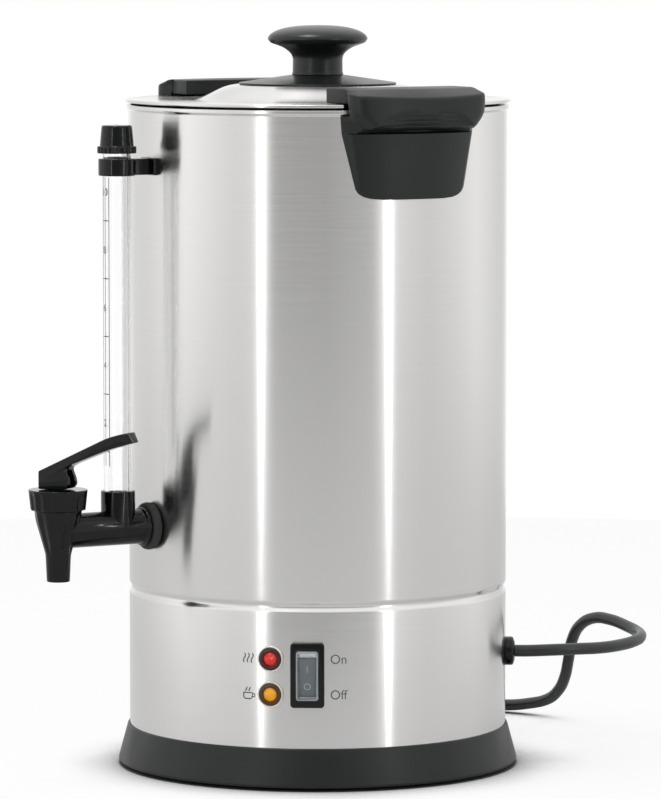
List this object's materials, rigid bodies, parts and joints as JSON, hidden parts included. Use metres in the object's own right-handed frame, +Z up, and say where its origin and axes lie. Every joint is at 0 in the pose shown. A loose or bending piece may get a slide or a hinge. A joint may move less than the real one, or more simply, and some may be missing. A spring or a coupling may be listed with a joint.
{
  "type": "coffee urn",
  "caption": "Cylindrical brushed steel percolator urn with a sight gauge, push-lever tap, side handles, lift-off lid with mushroom knob, rocker switch, indicator lamps and mains cord.",
  "frame": {"origin": "on the table, under the middle of the round body", "axes": "+Z up along the axis of the body, the tap points along -Y, the handles lie along X"},
  "size_m": [0.3691, 0.4009, 0.431],
  "materials": {
    "stainless": "horizontal brushed",
    "black_satin": "satin black phenolic",
    "black_gloss": "gloss black moulding",
    "black_rubber": "black rubber",
    "silicone": "clear silicone",
    "gauge_glass": "clear glass tube",
    "clear_boot": "clear soft vinyl",
    "rocker_grey": "grey moulding",
    "lamp_red": "red lens",
    "lamp_amber": "amber lens",
    "lamp_bezel": "light moulding",
    "zinc_steel": "zinc plated",
    "cast_aluminium": "cast",
    "element_sheath": "heat tinted",
    "mica_band": "mica and foil",
    "phenolic_brown": "phenolic",
    "ceramic_white": "ceramic",
    "cord_sheath": "matt cord sheath",
    "plug_metal": "plated pins"
  },
  "bodies": {
    "urn": {"body_shell": "stainless", "tank_floor": "stainless", "brew_basket": "stainless", "basket_cover": "stainless", "pump_stem": "stainless", "base_ring": "black_satin", "handle_right": "black_satin", "handle_left": "black_satin", "clip_right": "black_satin", "clip_left": "black_satin", "base_plate": "black_satin", "tap_body": "black_gloss", "tap_bonnet": "black_gloss", "gauge_bracket": "black_gloss", "switch_body": "black_gloss", "cord_gland": "black_gloss", "gland_nut": "black_gloss", "rubber_feet": "black_rubber", "tap_washer": "black_rubber", "tap_inner_seal": "silicone", "tube_seal": "silicone", "sight_tube": "gauge_glass", "switch_boot": "clear_boot", "heating_lamp_lens": "lamp_red", "warm_lamp_lens": "lamp_amber", "heating_lamp_body": "lamp_bezel", "warm_lamp_body": "lamp_bezel", "base_screws": "zinc_steel", "screws_right": "zinc_steel", "screws_left": "zinc_steel", "bracket_screw": "zinc_steel", "lamp_nuts": "zinc_steel", "tap_nut": "zinc_steel", "valve_spring": "zinc_steel", "heater_plate": "cast_aluminium", "heating_element": "element_sheath", "keep_warm_ring": "mica_band", "brew_thermostat": "phenolic_brown", "safety_cutout": "ceramic_white", "terminal_block": "ceramic_white", "power_cord": "cord_sheath", "cord_coil": "cord_sheath", "cord_tail": "cord_sheath", "supply_lead": "cord_sheath", "mains_plug": "cord_sheath", "coil_tie": "cord_sheath", "plug_pins": "plug_metal"},
    "lid": {"lid_plate": "stainless", "knob_skirt": "black_satin", "lid_knob": "black_satin", "knob_screw": "zinc_steel"},
    "tap_valve": {"seat_cup": "silicone"},
    "tap_stem": {"valve_stem": "black_gloss", "lever_pin": "zinc_steel"},
    "tap_handle": {"tap_lever": "black_gloss"},
    "gauge_top": {"gauge_cap": "black_gloss", "cap_bung": "silicone"},
    "rocker": {"switch_rocker": "rocker_grey"}
  },
  "joints": [
    {"name": "lid_lift", "type": "slide", "parent": "urn", "child": "lid", "axis": [0, 0, 1], "range_m": [0, 0.15]},
    {"name": "valve_lift", "type": "slide", "parent": "urn", "child": "tap_valve", "axis": [0, 0, 1], "range_m": [0, 0.0024], "deforming": ["valve_spring"]},
    {"name": "lever_turn", "type": "hinge", "parent": "tap_valve", "child": "tap_stem", "pos_m": [0, -0.1706, 0.16], "axis": [0, 0, 1], "range_deg": [-275, 28]},
    {"name": "lever_press", "type": "hinge", "parent": "tap_stem", "child": "tap_handle", "pos_m": [0, -0.1706, 0.1754], "axis": [-0.5736, 0.8192, 0], "range_deg": [0, 25], "stiffness_Nm_per_rad": 0.018, "springref_deg": -52.14},
    {"name": "gauge_cap_pull", "type": "slide", "parent": "urn", "child": "gauge_top", "axis": [0, 0, 1], "range_m": [0, 0.03]},
    {"name": "rocker_tilt", "type": "hinge", "parent": "urn", "child": "rocker", "pos_m": [0.0889, -0.05773, 0.066], "axis": [-0.5446, -0.8387, 0], "range_deg": [0, 22]}
  ],
  "couplings": [
    {"joint": "valve_lift", "follows": "lever_press", "m_per_rad": 0.0055}
  ]
}
